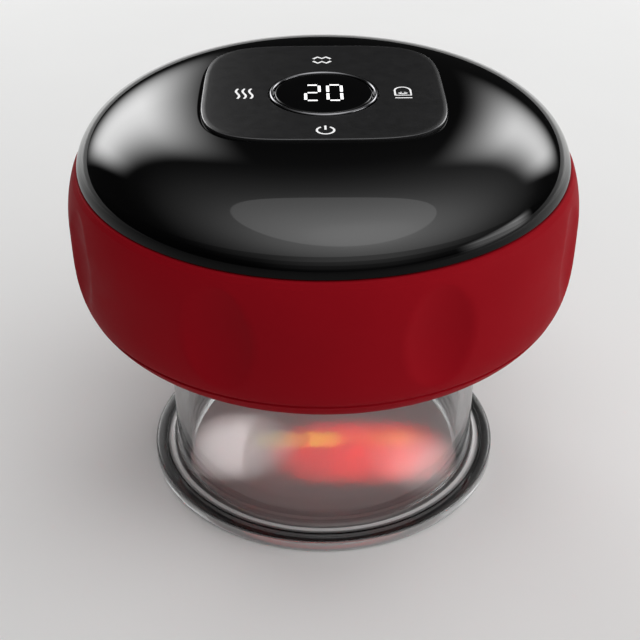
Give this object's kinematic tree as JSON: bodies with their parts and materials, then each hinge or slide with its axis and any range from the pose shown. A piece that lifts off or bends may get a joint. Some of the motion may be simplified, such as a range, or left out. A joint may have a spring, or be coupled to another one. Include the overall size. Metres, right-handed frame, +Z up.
{
  "type": "electric cupping massager",
  "caption": "Hand-held round cupping massager: red grip drum, glossy dome with touch panel and display, and a clear screw-in suction cup with warm light inside.",
  "frame": {"origin": "centre of the cup's rim on the plane it rests on, the bottom centre of the bounding box", "axes": "+Z up through the dome's centre, -Y to the power key (the front), +Y to the charging socket, +X to the right"},
  "size_m": [0.1, 0.1, 0.0829],
  "materials": {
    "red_satin": "satin red moulded plastic",
    "black_gloss": "polished black plastic",
    "black_matt": "fine matt black",
    "smoked_lens": "smoked display lens",
    "bright_metal": "polished",
    "steel": "plain",
    "clear_smoke": "clear, slightly smoked plastic",
    "red_lens": "translucent red",
    "black_plastic": "moulded",
    "white_plastic": "moulded",
    "grey_plastic": "moulded",
    "circuit_green": "solder mask",
    "silicone": "translucent silicone",
    "rubber": "black rubber",
    "copper": "copper",
    "battery_foil": "foil wrap",
    "ferrite": "sintered",
    "sponge": "open foam"
  },
  "bodies": {
    "housing": {"grip_shell": "red_satin", "top_cover": "black_gloss", "touch_panel": "black_matt", "window_ring": "bright_metal", "display_window": "smoked_lens", "main_board": "circuit_green", "display_module": "white_plastic", "cup_socket": "black_plastic", "inner_frame": "grey_plastic", "pump_strap": "steel", "battery": "battery_foil", "charge_board": "circuit_green", "charge_socket": "steel", "pump_motor_can": "steel", "motor_end_cap": "white_plastic", "motor_magnet": "ferrite", "pump_body": "black_plastic", "pump_diaphragm": "rubber", "pump_valve_plate": "white_plastic", "pump_cover": "black_plastic", "valve_bobbin": "white_plastic", "valve_coil": "copper", "valve_core": "steel", "valve_spring": "steel", "valve_yoke": "steel", "air_tee": "white_plastic", "pump_hose": "silicone", "cup_hose": "silicone", "valve_hose": "silicone", "battery_leads": "white_plastic", "motor_leads": "white_plastic", "head_base": "black_plastic", "lamp_lens": "red_lens", "lamp_board": "circuit_green", "heat_plate": "bright_metal", "magnet_ring": "ferrite", "air_filter": "sponge", "touch_spring_power": "copper", "touch_spring_mode": "copper", "touch_spring_heat": "copper", "touch_spring_suction": "copper", "socket_screw_1": "steel", "socket_screw_2": "steel", "socket_screw_3": "steel", "board_screw_1": "steel", "board_screw_2": "steel", "board_screw_3": "steel", "head_screw_1": "steel", "head_screw_2": "steel", "strap_screw_1": "steel", "strap_screw_2": "steel", "pump_screw_1": "steel", "pump_screw_2": "steel"},
    "cup_seal": {"cup_seal": "silicone"},
    "cup": {"suction_cup": "clear_smoke"},
    "pump_rotor": {"motor_rotor": "copper", "eccentric": "black_plastic"},
    "swing": {"swing_plate": "white_plastic"},
    "valve_plunger": {"valve_plunger": "steel"}
  },
  "joints": [
    {"name": "cup_drop", "type": "slide", "parent": "housing", "child": "cup_seal", "axis": [0, 0, -1], "range_m": [0, 0.00301]},
    {"name": "cup_turn", "type": "hinge", "parent": "cup_seal", "child": "cup", "pos_m": [0, 0, 0.044], "axis": [0, 0, -1], "range_deg": [0, 50]},
    {"name": "pump_shaft_turn", "type": "hinge", "parent": "housing", "child": "pump_rotor", "pos_m": [0, 0.014, 0.0612], "axis": [1, 0, 0], "continuous": true, "deforming": ["pump_diaphragm"]},
    {"name": "swing_wobble", "type": "hinge", "parent": "pump_rotor", "child": "swing", "pos_m": [0.0106, 0.014, 0.0612], "axis": [0.9925, 0, -0.1219], "continuous": true},
    {"name": "valve_plunger_slide", "type": "slide", "parent": "housing", "child": "valve_plunger", "axis": [0, 1, 0], "range_m": [0, 0.001], "stiffness_N_per_m": 60, "deforming": ["valve_spring"]}
  ],
  "couplings": [
    {"joint": "cup_drop", "follows": "cup_turn", "m_per_rad": 0.0034377},
    {"joint": "swing_wobble", "follows": "pump_shaft_turn", "ratio": -1}
  ]
}
